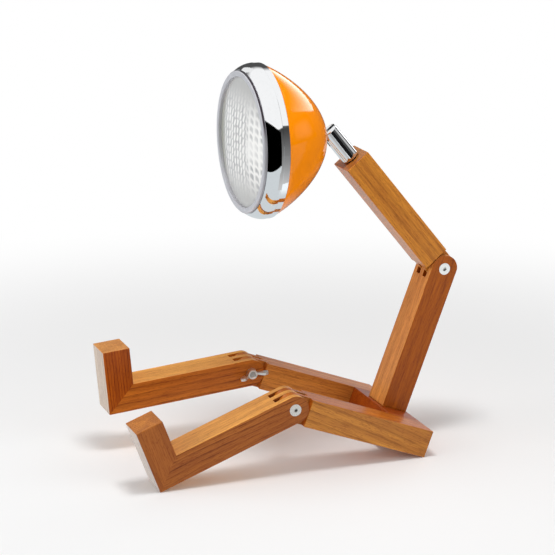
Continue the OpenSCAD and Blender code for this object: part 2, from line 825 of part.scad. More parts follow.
thigh_left();
thigh_right();
seat_block();
seat_dowels();
torso_lower();
torso_screws();
waist_bolt();
waist_washer();
waist_wing_nut();
shin_left();
foot_left();
mitre_dowels_left();
knee_bolt_left();
knee_washer_left();
knee_wing_nut_left();
shin_right();
foot_right();
mitre_dowels_right();
knee_bolt_right();
knee_washer_right();
knee_wing_nut_right();
torso_upper();
neck_bush();
neck_washer();
neck_post();
neck_clip();
tilt_pin();
head_shell();
trim_ring();
lens_rim();
lens();
lens_gasket();
reflector();
snap_ring();
lamp_holder();
bulb_base();
bulb();
tilt_bracket();
bracket_screws();
cable_entry();
terminal_block();
holder_leads();
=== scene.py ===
import json
import math

import bpy
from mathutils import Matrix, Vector


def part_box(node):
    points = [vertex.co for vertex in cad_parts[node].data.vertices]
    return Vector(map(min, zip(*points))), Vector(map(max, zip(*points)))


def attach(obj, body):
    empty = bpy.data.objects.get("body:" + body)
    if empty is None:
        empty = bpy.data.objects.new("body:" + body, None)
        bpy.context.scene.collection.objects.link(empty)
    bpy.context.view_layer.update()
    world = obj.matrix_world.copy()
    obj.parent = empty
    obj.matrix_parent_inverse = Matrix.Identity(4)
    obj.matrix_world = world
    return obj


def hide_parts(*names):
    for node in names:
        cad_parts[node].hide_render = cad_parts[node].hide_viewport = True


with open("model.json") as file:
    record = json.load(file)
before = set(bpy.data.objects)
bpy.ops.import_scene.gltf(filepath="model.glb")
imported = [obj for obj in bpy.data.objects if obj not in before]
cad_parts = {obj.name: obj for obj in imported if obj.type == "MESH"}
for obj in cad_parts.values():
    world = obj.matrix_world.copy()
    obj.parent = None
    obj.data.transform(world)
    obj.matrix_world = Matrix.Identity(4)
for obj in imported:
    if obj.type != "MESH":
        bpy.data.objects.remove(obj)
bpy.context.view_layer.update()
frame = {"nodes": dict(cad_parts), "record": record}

# Camera, as fitted to the photograph: angles in degrees, lengths in metres
CAMERA_AZIMUTH = 69.26
CAMERA_ELEVATION = 15.27
CAMERA_DISTANCE = 2.094
CAMERA_LENS_MM = 136.7
CAMERA_SENSOR_MM = 36.0
CAMERA_REACH = 50
CAMERA_TARGET = Vector((0.0, -0.0077, 0.1784))

# Noises: cells per metre, detail and roughness
RING_WAVE = (75, 2, 0.5)
RING_TREMBLE = (420, 2, 0.5)
RING_SPREAD = (26, 0, 0.5)
RING_FADE = (95, 2, 0.5)
WOOD_BROAD = (150, 3, 0.55)
WOOD_STREAKS = (1100, 3, 0.6)
WOOD_BANDS = (48, 1, 0.5)
METAL_SPOTS = (260, 3, 0.6)
PAINT_CLOUD = (30, 2, 0.5)
PAINT_PEEL = (700, 2, 0.5)
RIM_CLOUD = (120, 3, 0.55)
RUBBER_GRAIN = (1500, 3, 0.6)
MATT_GRAIN = (500, 3, 0.6)
GLASS_STRAY = (130, 2, 0.5)
GLASS_CLOUD = (60, 2, 0.5)
# Levels of a noise between which a texture changes
MIDDLE = (0.3, 0.7)
UPPER = (0.35, 0.75)
# How dark the dull spots of a finish are beside its own colour, and how fully they show
DULL_SHARE = 0.85
METAL_DULL = 0.15
PAINT_DULL = 0.10
SATIN_DULL = 0.12
MATT_DULL = 0.2
# Roughness where a finish's noise is low and high, or how many times rougher it is where it is high
STEEL_ROUGHNESS = (0.24, 0.32)
SATIN_ROUGHNESS = (0.42, 0.5)
RUBBER_ROUGHNESS = (0.5, 0.65)
MATT_ROUGHNESS = (0.4, 0.5)
METAL_ROUGHER = 1.3
PAINT_ROUGHER = 1.15

DEGREES_PER_RADIAN = 180 / math.pi

WHITE = (1.0, 1.0, 1.0)
NICKEL = (0.88, 0.86, 0.82)
# Steel of the bolts' thread ends, darker partly as painted shade of the wing nuts' hollows
SHADED_THREAD_STEEL = (0.48, 0.47, 0.45)


def direction(azimuth, elevation):
    """Unit vector from the object towards a viewer at these angles in degrees."""
    a = math.radians(azimuth)
    e = math.radians(elevation)
    return Vector((math.sin(a) * math.cos(e), -math.cos(a) * math.cos(e), math.sin(e)))


def aim(obj, place, target):
    """Puts a camera, lamp or card at a place, facing a target."""
    obj.location = place
    obj.rotation_euler = (target - place).to_track_quat("-Z", "Y").to_euler()


def add_camera():
    data = bpy.data.cameras.new("camera")
    data.lens = CAMERA_LENS_MM
    data.sensor_width = CAMERA_SENSOR_MM
    data.clip_end = CAMERA_REACH
    camera = bpy.data.objects.new("camera", data)
    bpy.context.collection.objects.link(camera)
    away = direction(CAMERA_AZIMUTH, CAMERA_ELEVATION)
    aim(camera, CAMERA_TARGET + CAMERA_DISTANCE * away, CAMERA_TARGET)
    bpy.context.scene.camera = camera


class Graph:
    """A material's or the world's node tree, with short calls to add and join nodes."""

    def __init__(self, name, owner=None):
        self.owner = owner or bpy.data.materials.new(name)
        self.owner.use_nodes = True
        self.tree = self.owner.node_tree
        self.shader = self.tree.nodes.get("Principled BSDF")

    def add(self, kind, values=None, **settings):
        made = self.tree.nodes.new(kind)
        for key, value in settings.items():
            setattr(made, key, value)
        for key, value in (values or {}).items():
            self.put(made.inputs[key], value)
        return made

    def put(self, socket, value):
        """Links another node's socket to this one, or gives it a plain value."""
        if isinstance(value, bpy.types.NodeSocket):
            self.tree.links.new(value, socket)
        elif socket.type == "RGBA" and len(value) == 3:
            socket.default_value = (*value, 1.0)
        else:
            socket.default_value = value

    def set(self, **values):
        """Sets or links the shader's own sockets; an underscore stands for a space."""
        for key, value in values.items():
            self.put(self.shader.inputs[key.replace("_", " ")], value)

    def output(self, kind, shader):
        """Makes a shader what the material or the world shows."""
        self.tree.links.new(shader.outputs[0], self.tree.nodes[kind + " Output"].inputs["Surface"])

    def math(self, operation, a, b=0.0):
        return self.add("ShaderNodeMath", {0: a, 1: b}, operation=operation).outputs[0]

    def plus(self, a, b):
        return self.math("ADD", a, b)

    def minus(self, a, b):
        return self.math("SUBTRACT", a, b)

    def times(self, a, b):
        return self.math("MULTIPLY", a, b)

    def over(self, a, b):
        return self.math("DIVIDE", a, b)

    def absolute(self, a):
        return self.math("ABSOLUTE", a)

    def saw(self, a):
        """Rises from -1 to 1 in each whole step of a value."""
        return self.minus(self.times(self.math("FRACT", a), 2.0), 1.0)

    def distance(self, a, b):
        """Length of the vector that has these two parts."""
        return self.math("SQRT", self.plus(self.times(a, a), self.times(b, b)))

    def place(self):
        """Where the shaded point lies on the object, in metres."""
        return self.add("ShaderNodeTexCoord").outputs["Object"]

    def parts(self, vector):
        """The X, Y and Z of a vector."""
        outputs = self.add("ShaderNodeSeparateXYZ", {"Vector": vector}).outputs
        return outputs["X"], outputs["Y"], outputs["Z"]

    def drawn_out(self, vector, share, shift=0.0):
        """Squeezes a vector's Y to a share, so that what is drawn with it is drawn out along Y."""
        values = {"Vector": vector, "Scale": (1.0, share, 1.0), "Location": (0.0, shift, 0.0)}
        return self.add("ShaderNodeMapping", values).outputs["Vector"]

    def ramp(self, factor, stops):
        """Grey ramp with stops of (position, grey)."""
        made = self.add("ShaderNodeValToRGB", {"Fac": factor})
        elements = made.color_ramp.elements
        while len(elements) < len(stops):
            elements.new(0.5)
        for element, (position, grey) in zip(elements, stops):
            element.position = position
            element.color = (grey, grey, grey, 1.0)
        return made.outputs["Color"]

    def level(self, value, low, high, at_low=0.0, at_high=1.0):
        """Smoothly maps a value between two limits to two others."""
        values = {"Value": value, "From Min": low, "From Max": high, "To Min": at_low, "To Max": at_high}
        return self.add("ShaderNodeMapRange", values, interpolation_type="SMOOTHSTEP").outputs["Result"]

    def noise(self, vector, scale, detail, roughness):
        values = {"Vector": vector, "Scale": scale, "Detail": detail, "Roughness": roughness}
        return self.add("ShaderNodeTexNoise", values).outputs["Fac"]

    def mix(self, factor, a, b, blend="MIX"):
        """Mixes two colours."""
        made = self.add("ShaderNodeMix", data_type="RGBA", blend_type=blend)
        for index, value in ((0, factor), (6, a), (7, b)):
            self.put(made.inputs[index], value)
        return made.outputs[2]

    def between(self, factor, a, b):
        """Mixes two numbers."""
        return self.add("ShaderNodeMix", {0: factor, 2: a, 3: b}, data_type="FLOAT").outputs[0]

    def either(self, factor, a, b):
        """Mixes two shaders."""
        return self.add("ShaderNodeMixShader", {0: factor, 1: a.outputs[0], 2: b.outputs[0]})

    def dulled(self, spots, low, high, most, colour):
        """A colour that turns duller where a noise is high."""
        dull = tuple(DULL_SHARE * c for c in colour)
        return self.mix(self.level(spots, low, high, 0.0, most), colour, dull)

    def bump(self, height, strength, distance):
        made = self.add("ShaderNodeBump", {"Height": height, "Strength": strength, "Distance": distance})
        self.tree.links.new(made.outputs["Normal"], self.shader.inputs["Normal"])


# Slope of each bar's own length above the floor at rest, in degrees
SEAT_SLOPE = 20.5
LEFT_SLOPE = -20.5
RIGHT_SLOPE = -5.0
TORSO_SLOPE = 110.5
UPPER_SLOPE = 50.8
FOOT_TURN = 90.0
MITRE_TURN = 45.0
# The near thigh's grain runs this far off the bar's own length
THIGH_GRAIN_TURN = 7.0

# Growth rings, in metres: the pith's height above the bar's middle, and the fine tremble of the lines
PITH_HEIGHT = -0.11
TREMBLE = 0.0016
# How far the rings' spacing varies, as a share of it
SPREAD_SHARE = 1.2
# Darkness of one ring from its inner to its outer edge
RING_STOPS = ((0.0, 0.0), (0.60, 0.10), (0.80, 0.6), (0.88, 1.0), (0.93, 0.4), (1.0, 0.0))
# How strongly the rings' lines show on the faces that they cross, and on the others
LINES_PLAIN = 0.15
LINES_FULL = 1.0
LINE_TONE = (0.27, 0.13, 0.11)

# Share to which the grain, the rings' waves and the pores are squeezed along the bar
GRAIN_SHARE = 0.05
WAVE_SHARE = 0.22
PORE_SHARE = 0.16
PORES_PER_METRE = 950.0

# How fully the rings' lines show: two levels of a noise, and the shares there
LINE_FADE = (0.36, 0.58, 0.45, 1.0)
LINE_RAGS = (0.35, 0.55, 1.0, 0.65)
# How the wood's other noises turn into tone: two levels, and the tones there
BROAD_TONES = (0.3, 0.7, 0.88, 1.12)
STREAK_TONES = (0.32, 0.58, 0.80, 1.06)
PORE_TONES = (0.12, 0.32, 0.70, 1.0)
# Levels of the broad bands' noise, whose tones each bar gives
BAND_LEVELS = (0.36, 0.64)
# Two tones of the streaks, and the wood's roughness there
STREAK_ROUGHNESS = (0.8, 1.06, 0.55, 0.45)
# Heights of the streaks and the pores in the bump
STREAK_HEIGHT = 0.5
PORE_HEIGHT = 0.6
# Darker wood is redder wood: green falls off faster than red
GREEN_POWER = 1.35
BLUE_POWER = 1.1

# Parts of the surface normal at which a face counts as a side, and as an end or a sole
SIDE_FACING = (0.5, 0.9)
END_FACING = (0.90, 0.95)
# Pale colours of the feet's soles: a painted sheen of bright floor on the wood
PAINTED_SOLE_SHEEN = (0.63, 0.505, 0.42)
RIGHT_PAINTED_SOLE_SHEEN = (0.56, 0.43, 0.335)
DOWEL_TONE = (0.66, 0.325, 0.105)

# Wood of each bar: the slope of its grain, and what else the function wood takes; its side and face tones are
# partly grain and partly painted light and shade
BARS = {
    "thigh_left": dict(
        slope=SEAT_SLOPE + THIGH_GRAIN_TURN, side=(0.52, 0.202, 0.035), face=(0.49, 0.13, 0.01),
        pitch=0.0085, line=0.6, wander=0.0015, bands=0.14),
    "thigh_right": dict(
        slope=SEAT_SLOPE, side=(0.60, 0.21, 0.035), face=(0.60, 0.185, 0.025),
        pitch=0.008, line=0.5, shift=0.31),
    "seat_block": dict(
        slope=SEAT_SLOPE, side=(0.50, 0.19, 0.035), face=(0.325, 0.055, 0.004),
        pitch=0.009, line=0.4, shift=0.57),
    "torso_lower": dict(
        slope=TORSO_SLOPE, side=(0.345, 0.080, 0.003), face=(0.625, 0.240, 0.056),
        pitch=0.012, line=0.5, shift=0.83),
    "torso_upper": dict(
        slope=UPPER_SLOPE, side=(0.555, 0.202, 0.023), face=(0.60, 0.22, 0.04),
        pitch=0.0068, line=0.6, wander=0.001, shift=0.42, bands=0.03, end=0.65),
    "shin_left": dict(
        slope=LEFT_SLOPE, side=(0.362, 0.105, 0.018), face=(0.76, 0.340, 0.070),
        pitch=0.0055, line=0.95, shift=0.15),
    "shin_right": dict(
        slope=RIGHT_SLOPE, side=(0.520, 0.138, 0.013), face=(0.82, 0.371, 0.082),
        pitch=0.0072, line=0.95, wander=0.002, shift=0.68),
    "foot_left": dict(
        slope=LEFT_SLOPE + FOOT_TURN, side=(0.375, 0.110, 0.019), face=(0.485, 0.160, 0.020),
        pitch=0.004, line=0.7, wander=0.001, shift=0.93, sole=PAINTED_SOLE_SHEEN, flat=True),
    "foot_right": dict(
        slope=RIGHT_SLOPE + FOOT_TURN, side=(0.384, 0.076, 0.004), face=(0.637, 0.272, 0.075),
        pitch=0.0032, line=1.0, wander=0.001, shift=0.27, sole=RIGHT_PAINTED_SOLE_SHEEN),
    "mitre_dowels_left": dict(
        slope=LEFT_SLOPE + MITRE_TURN, side=DOWEL_TONE, face=DOWEL_TONE, pitch=0.003, line=0.3),
}


def bar_place(g, node, place, turn, shift):
    """Place in a bar's own axes: X across it, Y along it with a shift, and Z up from its middle."""
    low, high = [Vector(corner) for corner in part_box(node)]
    middle = (low + high) / 2
    centre = middle.y * math.sin(turn) + middle.z * math.cos(turn)
    values = {"Vector": place, "Rotation": (turn, 0, 0), "Location": (-middle.x, shift, -centre)}
    return g.add("ShaderNodeMapping", values).outputs["Vector"]


def ring_lines(g, turned, grain, sideways, pitch, wander, flat):
    """How dark the growth rings' lines are: they lie round a pith far from the bar."""
    wavy = g.drawn_out(turned, WAVE_SHARE)
    x, _, z = g.parts(turned)
    across, up = (z, x) if flat else (x, z)
    stray = g.minus(g.noise(wavy, *RING_WAVE), 0.5)
    tremble = g.minus(g.noise(grain, *RING_TREMBLE), 0.5)
    radius = g.plus(g.distance(across, g.minus(up, PITH_HEIGHT)), g.times(stray, 2 * wander))
    radius = g.plus(radius, g.times(tremble, TREMBLE))
    spread = g.times(g.minus(g.noise(wavy, *RING_SPREAD), 0.5), SPREAD_SHARE * pitch)
    ring = g.ramp(g.math("FRACT", g.over(g.plus(radius, spread), pitch)), RING_STOPS)
    fade = g.level(g.noise(grain, *RING_FADE), *LINE_FADE)
    ragged = g.level(g.noise(grain, *WOOD_STREAKS), *LINE_RAGS)
    on_sides, on_others = (LINES_PLAIN, LINES_FULL) if flat else (LINES_FULL, LINES_PLAIN)
    shown = g.level(sideways, 0.0, 1.0, on_others, on_sides)
    return g.times(g.times(g.times(ring, fade), shown), ragged)


def bar_colour(g, normal, sideways, turn, side, face, end, sole):
    """Colour of a bar's faces: its sides, its darker ends, a foot's sole and the rest. Side and face tones
    are partly painted light and shade, and the sole's pale colour is a painted sheen.
    """
    _, y, z = g.parts(normal)
    # Side and face tones: partly grain, partly painted light and shade of how each face is lit
    base = g.mix(sideways, face, side)
    lengthwise = g.plus(g.times(y, -math.cos(turn)), g.times(z, math.sin(turn)))
    darker = g.mix(1.0, base, (end, end, end), "MULTIPLY")
    base = g.mix(g.level(g.absolute(lengthwise), *END_FACING), base, darker)
    # A foot's sole takes a pale colour, a painted sheen of bright floor
    if sole:
        downward = g.minus(g.times(y, -math.sin(turn)), g.times(z, math.cos(turn)))
        base = g.mix(g.level(downward, *END_FACING), base, sole)
    return base


def wood(node, slope, side, face, pitch, line, wander=0.003, shift=0.0, bands=0.06, end=1.0,
         sole=None, flat=False):
    """Oiled wood for one bar, with its grain along the slope.

    side is the linear colour of the faces that look left and right, face that of the others; they differ
    partly as grain and partly as painted light and shade of how each face is lit. The sides show the
    growth rings' dark lines, and in a flat bar the other faces do. pitch is the rings' spacing, line how
    dark they are, wander how far they stray, and shift makes bars differ. bands is how much broad bands of
    tone differ, and end darkens the end faces. A foot's sole has a pale colour of its own, a painted sheen
    of bright floor.
    """
    g = Graph("wood_" + node)
    turn = math.radians(slope)
    coords = g.add("ShaderNodeTexCoord")
    normal = coords.outputs["Normal"]
    turned = bar_place(g, node, coords.outputs["Object"], turn, shift)
    grain = g.drawn_out(turned, GRAIN_SHARE, shift)
    sideways = g.level(g.absolute(g.parts(normal)[0]), *SIDE_FACING)
    depth = ring_lines(g, turned, grain, sideways, pitch, wander, flat)
    base = bar_colour(g, normal, sideways, turn, side, face, end, sole)
    lined = g.mix(g.times(depth, line), base, LINE_TONE, "MULTIPLY")
    broad = g.level(g.noise(grain, *WOOD_BROAD), *BROAD_TONES)
    streaks = g.level(g.noise(grain, *WOOD_STREAKS), *STREAK_TONES)
    banded = g.level(g.noise(grain, *WOOD_BANDS), *BAND_LEVELS, 1 - bands, 1 + bands)
    holes = {"Vector": g.drawn_out(turned, PORE_SHARE), "Scale": PORES_PER_METRE}
    pores = g.add("ShaderNodeTexVoronoi", holes).outputs["Distance"]
    dots = g.level(pores, *PORE_TONES)
    tone = g.times(g.times(broad, banded), g.times(streaks, dots))
    tint = g.add("ShaderNodeCombineColor", {"Red": tone, "Green": g.math("POWER", tone, GREEN_POWER)})
    g.put(tint.inputs["Blue"], g.math("POWER", tone, BLUE_POWER))
    oiled = g.mix(1.0, lined, tint.outputs["Color"], "MULTIPLY")
    g.set(Base_Color=oiled, Roughness=g.level(streaks, *STREAK_ROUGHNESS))
    g.set(Specular_IOR_Level=0.05, Coat_Weight=1.0, Coat_Roughness=0.27, Coat_IOR=1.26)
    relief = g.plus(g.times(streaks, STREAK_HEIGHT), g.times(pores, PORE_HEIGHT))
    g.bump(relief, strength=0.18, distance=0.0002)
    return g.owner


def metal(name, colour, roughness):
    """Smooth metal with faint duller spots."""
    g = Graph(name)
    spots = g.noise(g.place(), *METAL_SPOTS)
    g.set(Base_Color=g.dulled(spots, *UPPER, METAL_DULL, colour), Metallic=1.0)
    g.set(Roughness=g.level(spots, *MIDDLE, roughness, roughness * METAL_ROUGHER))
    return g.owner


# Bolts: how far from the head's face the darker thread starts, in metres, and its turns per metre; the darker
# thread is partly painted shade of the wing nut's hollow
THREAD_START = (0.004, 0.005)
THREADS_PER_METRE = 1000


def bolt_steel(node, head_right):
    """Nickel for the bolt's head and darker threaded steel for the end that shows in its wing nut, darker
    partly as painted shade of the nut's hollow.
    """
    low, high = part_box(node)
    g = Graph("steel_" + node)
    place = g.place()
    x = g.parts(place)[0]
    away = g.absolute(g.minus(x, low[0] if head_right else high[0]))
    threaded = g.level(away, *THREAD_START)
    spots = g.noise(place, *METAL_SPOTS)
    worn = g.dulled(spots, *UPPER, METAL_DULL, NICKEL)
    # The thread end's darker steel is partly painted shade inside the wing nut
    g.set(Base_Color=g.mix(threaded, worn, SHADED_THREAD_STEEL), Metallic=1.0)
    g.set(Roughness=g.level(spots, *MIDDLE, *STEEL_ROUGHNESS))
    ridge = g.math("SINE", g.times(x, THREADS_PER_METRE * 2 * math.pi))
    g.bump(g.times(ridge, threaded), strength=0.5, distance=0.0002)
    return g.owner


def gloss_paint(name, colour, roughness):
    """Paint under a clear coat, slightly cloudy and with a faint orange peel."""
    g = Graph(name)
    place = g.place()
    cloud = g.noise(place, *PAINT_CLOUD)
    g.set(Base_Color=g.dulled(cloud, *MIDDLE, PAINT_DULL, colour), Specular_IOR_Level=0.0)
    g.set(Roughness=g.level(cloud, *MIDDLE, roughness, roughness * PAINT_ROUGHER))
    g.set(Coat_Weight=1.0, Coat_Roughness=0.02, Coat_IOR=1.4)
    g.bump(g.noise(place, *PAINT_PEEL), strength=0.015, distance=0.0001)
    return g.owner


# Painted shade of the gap round the lens rim, drawn as a dark line, in metres: how far inside the rim's edge
# it starts, and its soft width
RIM_LINE_INSET = 0.0004
RIM_LINE_WIDTH = 0.0002
# Heights over the rim's middle, as shares of its radius, between which the line comes up, and its least
RIM_LINE_FADE = (0.15, 0.45)
RIM_LINE_LEAST = 0.35


def rim_silver(name, colour, gap_shade):
    """Satin silver with painted shade, a dark line where the rim's outer edge meets the band."""
    low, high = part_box("lens_rim")
    half = (high[0] - low[0]) / 2
    edge = half - RIM_LINE_INSET
    g = Graph(name)
    place = g.place()
    x, _, height = g.parts(place)
    z = g.minus(height, (low[2] + high[2]) / 2)
    # Painted shade of the gap at the rim's outer edge, stronger towards the top
    line = g.level(g.distance(x, z), edge, edge + RIM_LINE_WIDTH)
    start, full = [share * half for share in RIM_LINE_FADE]
    line = g.times(line, g.level(z, start, full, RIM_LINE_LEAST, 1.0))
    cloud = g.noise(place, *RIM_CLOUD)
    silver = g.dulled(cloud, *MIDDLE, SATIN_DULL, colour)
    g.set(Base_Color=g.mix(line, silver, gap_shade), Metallic=0.5, Specular_IOR_Level=0.3)
    g.set(Roughness=g.level(cloud, *MIDDLE, *SATIN_ROUGHNESS))
    return g.owner


def rubber(name, dark, light):
    """Rubber with a fine grain between two tones."""
    g = Graph(name)
    grain = g.noise(g.place(), *RUBBER_GRAIN)
    g.set(Base_Color=g.mix(g.level(grain, *MIDDLE), dark, light))
    g.set(Roughness=g.level(grain, *MIDDLE, *RUBBER_ROUGHNESS))
    g.bump(grain, strength=0.15, distance=0.0001)
    return g.owner


def matt(name, colour):
    """Matt plastic or ceramic with a fine grain."""
    g = Graph(name)
    grain = g.noise(g.place(), *MATT_GRAIN)
    g.set(Base_Color=g.dulled(grain, *MIDDLE, MATT_DULL, colour))
    g.set(Roughness=g.level(grain, *MIDDLE, *MATT_ROUGHNESS))
    return g.owner


def clear_glass(name, roughness):
    g = Graph(name)
    g.set(Base_Color=WHITE, Roughness=roughness, IOR=1.5, Transmission_Weight=1.0)
    return g.owner


# Lens, in metres: its dome, thickness and seat as in the CAD solid, and the flutes pressed into its rear
LENS_DOME = 0.0045
LENS_THICK = 0.003
LENS_SEAT = 0.0029
FLUTE_PITCH = 0.0118
FLUTE_ROW = 0.0077
FLUTE_DEEP = 0.0008
ROW_DEEP = 0.0009
# How far a row's ends stand off its middle, as a share of the row
FLUTE_ARCH = 0.30
# The flutes are full where the dome's rise times this is over 1, and end at the seat
FLUTE_FADE = 1.5
LENS_RINGS = 92
LENS_SPOKES = 384

# Painted glints and shade that stand for light through the flutes: how far they stray, in flutes, and the
# closer strokes seen towards the far side
CELL_STRAY = 0.3
STROKES_PER_FLUTE = 1.45
STROKE_LEAN = -0.14
STROKE_SIDES = (0.20, 0.95, 1.0, -0.25)
STROKE_ENDS = (0.60, 1.0, 1.0, 0.25)
# Painted lobes of light and shade towards the near side: where they lie in a cell, and how dark they are at
# two heights
LOBE_SIDES = (-0.7, 0.3)
LOBE_ENDS = (0.2, 1.0, 1.0, 0.0)
LOBES_BELOW = (-0.12, -0.34, 0.40, 1.5)
LOBES_ABOVE = (0.05, 0.20, 0.0, 0.6)
# Shares of the lens's radius: where the painted strokes give way to painted lobes, and where painted shade
# darkens the far margin
NEAR_SIDE = (0.15, 0.45)
FAR_MARGIN = (-0.55, -0.88)
# Shares of the lens's radius, up or down, over which the painted cells fade and painted shade turns the glass
# darker
CELL_FADE = (0.40, 0.90, 1.0, 0.15)
GLASS_FADE = (0.3, 0.85)
GLASS_FADED_SHARE = 0.56
CLOUD_TONES = (0.3, 0.7, 0.6, 1.1)


def glass_with_painted_glints(name, bright, dark, margin):
    """Frosted lens glass with painted glints and shade: its pressed cells show as pale scales with darker
    borders.
    """
    low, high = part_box("lens")
    half = (high[0] - low[0]) / 2
    g = Graph(name)
    place = g.place()
    x, _, height = g.parts(place)
    z = g.minus(height, (low[2] + high[2]) / 2)
    share = g.over(z, half)
    stray = g.times(g.minus(g.noise(place, *GLASS_STRAY), 0.5), CELL_STRAY)
    column = g.plus(g.over(x, FLUTE_PITCH), stray)
    across = g.saw(column)
    arch = g.times(g.times(across, across), FLUTE_ARCH)
    up = g.saw(g.plus(g.over(z, FLUTE_ROW), g.plus(arch, stray)))
    # Towards the far side the cells show as closer painted glints, pale strokes which lean with the row
    stroke = g.saw(g.plus(g.times(column, STROKES_PER_FLUTE), g.times(up, STROKE_LEAN)))
    strokes = g.times(g.level(g.absolute(stroke), *STROKE_SIDES), g.level(g.absolute(up), *STROKE_ENDS))
    # Towards the near side each cell shows a painted highlight on its left half and painted shade on its
    # right half
    lobe = g.times(g.level(across, *LOBE_SIDES), g.level(g.absolute(up), *LOBE_ENDS))
    weight = g.plus(g.level(share, *LOBES_BELOW), g.level(share, *LOBES_ABOVE))
    lobes = g.minus(1.0, g.times(lobe, weight))
    near = g.level(x, *[limit * half for limit in NEAR_SIDE])
    cell = g.between(near, strokes, lobes)
    off_middle = g.absolute(share)
    cloud = g.level(g.noise(place, *GLASS_CLOUD), *CLOUD_TONES)
    shown = g.times(g.times(g.minus(1.0, cell), g.level(off_middle, *CELL_FADE)), cloud)
    faded = tuple(GLASS_FADED_SHARE * c for c in bright)
    tone = g.mix(shown, g.mix(g.level(off_middle, *GLASS_FADE), bright, faded), dark)
    tone = g.mix(g.level(x, *[limit * half for limit in FAR_MARGIN]), tone, margin)
    g.set(Base_Color=tone, Roughness=0.12, IOR=1.5, Transmission_Weight=0.05)
    return g.owner


def flute(x, z):
    """How deep the lens's rear is hollowed at a place: columns of short flutes with arched ends."""
    u = 2 * (x / FLUTE_PITCH % 1.0) - 1
    v = 2 * ((z / FLUTE_ROW + FLUTE_ARCH * u * u) % 1.0) - 1
    return FLUTE_DEEP * (1 - u * u) + ROW_DEEP * (1 - v * v)


def lens_mesh():
    """Domed lens in rings of points, with a smooth front and a fluted rear."""
    low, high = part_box("lens")
    outer = (high[0] - low[0]) / 2
    open_r = outer - LENS_SEAT
    centre_z = (low[2] + high[2]) / 2
    front_y = low[1] + LENS_DOME
    rear_y = front_y + LENS_THICK
    points = []
    faces = []

    def rise(radius):
        return max(0.0, 1 - (radius / open_r) ** 2)

    def front(x, z, radius):
        return front_y - LENS_DOME * rise(radius)

    def rear(x, z, radius):
        share = min(1.0, FLUTE_FADE * rise(radius))
        return rear_y - LENS_DOME * rise(radius) - share * flute(x, z)

    def ring(radius, y_of):
        start = len(points)
        for k in range(LENS_SPOKES):
            angle = 2 * math.pi * k / LENS_SPOKES
            x = radius * math.cos(angle)
            z = radius * math.sin(angle)
            points.append((x, y_of(x, z, radius), centre_z + z))
        return start

    def rings(y_of):
        """Adds the middle point and the rings round it, and gives where each starts."""
        middle = len(points)
        points.append((0.0, y_of(0, 0, 0), centre_z))
        radii = [open_r * (k + 1) / LENS_RINGS for k in range(LENS_RINGS)] + [outer]
        return middle, [ring(radius, y_of) for radius in radii]

    def join(a, b):
        for k in range(LENS_SPOKES):
            n = (k + 1) % LENS_SPOKES
            faces.append((a + k, b + k, b + n, a + n))

    front_middle, fronts = rings(front)
    rear_middle, rears = rings(rear)
    for k in range(LENS_SPOKES):
        n = (k + 1) % LENS_SPOKES
        faces.append((front_middle, fronts[0] + k, fronts[0] + n))
        faces.append((rear_middle, rears[0] + n, rears[0] + k))
    for a, b in zip(fronts, fronts[1:]):
        join(a, b)
    for a, b in zip(rears, rears[1:]):
        join(b, a)
    join(fronts[-1], rears[-1])
    mesh = bpy.data.meshes.new("fluted_lens")
    mesh.from_pydata(points, [], faces)
    mesh.update()
    for polygon in mesh.polygons:
        polygon.use_smooth = True
    return mesh


def add_lens(material):
    """Fluted lens, which stands for the plain one."""
    lens = bpy.data.objects.new("fluted_lens", lens_mesh())
    bpy.context.collection.objects.link(lens)
    lens.data.materials.append(material)
    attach(lens, "head")
    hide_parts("lens")


def paint_nodes():
    """Gives every CAD node its material, and gives back the materials of the slots."""
    woods = {node: wood(node, **look) for node, look in BARS.items()}
    finishes = {
        "oiled_wood": woods["seat_block"],
        "dowel_wood": woods["mitre_dowels_left"],
        "nickel": metal("nickel", NICKEL, 0.27),
        "chrome": metal("chrome", (0.90, 0.91, 0.92), 0.03),
        "bronze_bush": metal("bronze", (0.60, 0.42, 0.20), 0.3),
        "orange_paint": gloss_paint("orange_paint", (0.96, 0.268, 0.001), 0.35),
        # The rim's silver, and the painted shade of the gap round it
        "silver_paint": rim_silver("satin_silver", (0.66, 0.66, 0.70), (0.045, 0.035, 0.045)),
        # Lens tones: pale painted glints, darker painted shade in the cells, and a painted shaded margin
        "lens_glass": glass_with_painted_glints("lens_glass", (0.95, 0.95, 0.93), (0.46, 0.46, 0.47), (0.42, 0.43, 0.38)),
        "bulb_glass": clear_glass("bulb_glass", 0.02),
        "reflector": metal("reflector_metal", (0.92, 0.92, 0.92), 0.12),
        "rubber": rubber("rubber", (0.012, 0.012, 0.013), (0.03, 0.03, 0.031)),
        "holder": matt("holder_ceramic", (0.85, 0.84, 0.80)),
        "terminal": matt("terminal_plastic", (0.85, 0.84, 0.78)),
        "lead": matt("lead_sleeve", (0.45, 0.05, 0.03)),
    }
    finish_of = {entry["node"]: finishes[entry["material_slot"]] for entry in frame["record"]["subparts"]}
    finish_of.update(woods)
    for node in ("knee_bolt_left", "knee_bolt_right", "waist_bolt"):
        finish_of[node] = bolt_steel(node, node == "knee_bolt_right")
    finish_of["lens_gasket"] = rubber("gasket_rubber", (0.36, 0.37, 0.33), (0.42, 0.43, 0.39))
    for name, obj in frame["nodes"].items():
        obj.data.materials.clear()
        obj.data.materials.append(finish_of[name])
        for polygon in obj.data.polygons:
            polygon.material_index = 0
    return finishes


# Floor, in metres: its size, where it turns into the white backdrop, and its grey
FLOOR_SIZE = 14
FLOOR_WHITENS = (0.28, 0.95)
FLOOR_GREY = (0.89, 0.89, 0.89)
# What mirror surfaces see of the floor: its colour, and where it dims behind the figure
MIRRORED_FLOOR = (0.66, 0.70, 0.72)
FLOOR_DIMS = (0.20, 0.38, 1.0, 0.12)
# A paler patch of it beside the seat: its edges along X and along Y, and how much is added
PATCH_X = (0.1, 0.2)
PATCH_Y = (0.0, 0.08)
PATCH_GLOW = 0.5


